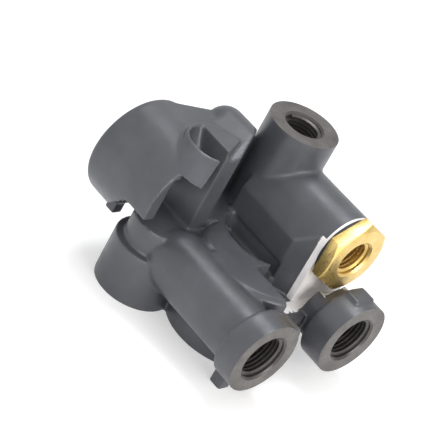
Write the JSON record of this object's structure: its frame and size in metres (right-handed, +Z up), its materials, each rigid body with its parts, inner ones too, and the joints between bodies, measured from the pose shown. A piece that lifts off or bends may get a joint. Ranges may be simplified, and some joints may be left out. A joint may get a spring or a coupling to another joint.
{
  "type": "air brake control valve",
  "caption": "Cast air brake control valve with a large piston cylinder, parallel threaded ports, a threaded top port and a brass hex port cap.",
  "frame": {"origin": "centre of the quick-release hub's open end, on the surface the valve rests on", "axes": "+Z up, along the top port; +X the way the two large ports and the brass cap face; +Y from the piston cylinder's side to the check tube's side"},
  "size_m": [0.0859, 0.0773, 0.0647],
  "materials": {
    "casting": "dark anodised die casting, satin, with machined port faces",
    "brass": "machined, bright",
    "washer": "thin black sealing washer",
    "aluminium": "turned, satin",
    "acetal": "moulded, matte",
    "rubber": "matte nitrile",
    "steel": "zinc plated"
  },
  "bodies": {
    "housing": {"valve_body": "casting", "port_cap": "brass", "cap_washer": "washer", "rear_cover": "aluminium", "rear_cover_ring": "steel", "rear_cover_seal": "rubber", "control_spring": "steel", "lower_plug": "aluminium", "lower_plug_seal": "rubber", "lower_plug_ring": "steel", "lower_seat": "brass", "lower_spring": "steel", "relay_cover": "aluminium", "relay_cover_seal": "rubber", "relay_cover_ring": "steel", "relay_seat": "brass", "relay_spring": "steel", "release_cover": "aluminium", "release_cover_seal": "rubber", "release_cover_ring": "steel", "exhaust_screen": "steel"},
    "control_piston": {"control_piston": "aluminium", "control_piston_seal": "rubber"},
    "check_shuttle": {"check_shuttle": "acetal", "shuttle_seal_front": "rubber", "shuttle_seal_rear": "rubber"},
    "relay_piston": {"relay_piston": "acetal", "relay_piston_seal": "rubber"},
    "relay_valve": {"relay_valve": "brass"},
    "lower_poppet": {"lower_poppet": "brass"},
    "release_diaphragm": {"release_diaphragm": "rubber"}
  },
  "joints": [
    {"name": "control_piston_slide", "type": "slide", "parent": "housing", "child": "control_piston", "axis": [-1, 0, 0], "range_m": [0, 0.0018], "stiffness_N_per_m": 1500, "springref_m": -0.004, "deforming": ["control_spring"]},
    {"name": "relay_piston_slide", "type": "slide", "parent": "housing", "child": "relay_piston", "axis": [0, 0, -1], "range_m": [0, 0.0016]},
    {"name": "relay_valve_slide", "type": "slide", "parent": "housing", "child": "relay_valve", "axis": [0, 0, -1], "range_m": [0, 0.0016], "stiffness_N_per_m": 800, "springref_m": -0.004, "deforming": ["relay_spring"]},
    {"name": "lower_poppet_slide", "type": "slide", "parent": "housing", "child": "lower_poppet", "axis": [0, 0, -1], "range_m": [0, 0.002], "stiffness_N_per_m": 800, "springref_m": -0.004, "deforming": ["lower_spring"]},
    {"name": "check_shuttle_slide", "type": "slide", "parent": "housing", "child": "check_shuttle", "axis": [1, 0, 0], "range_m": [0, 0.0034]},
    {"name": "release_diaphragm_slide", "type": "slide", "parent": "housing", "child": "release_diaphragm", "axis": [0, 0, 1], "range_m": [0, 0.001]}
  ],
  "couplings": [
    {"joint": "relay_valve_slide", "follows": "relay_piston_slide", "ratio": 1}
  ]
}
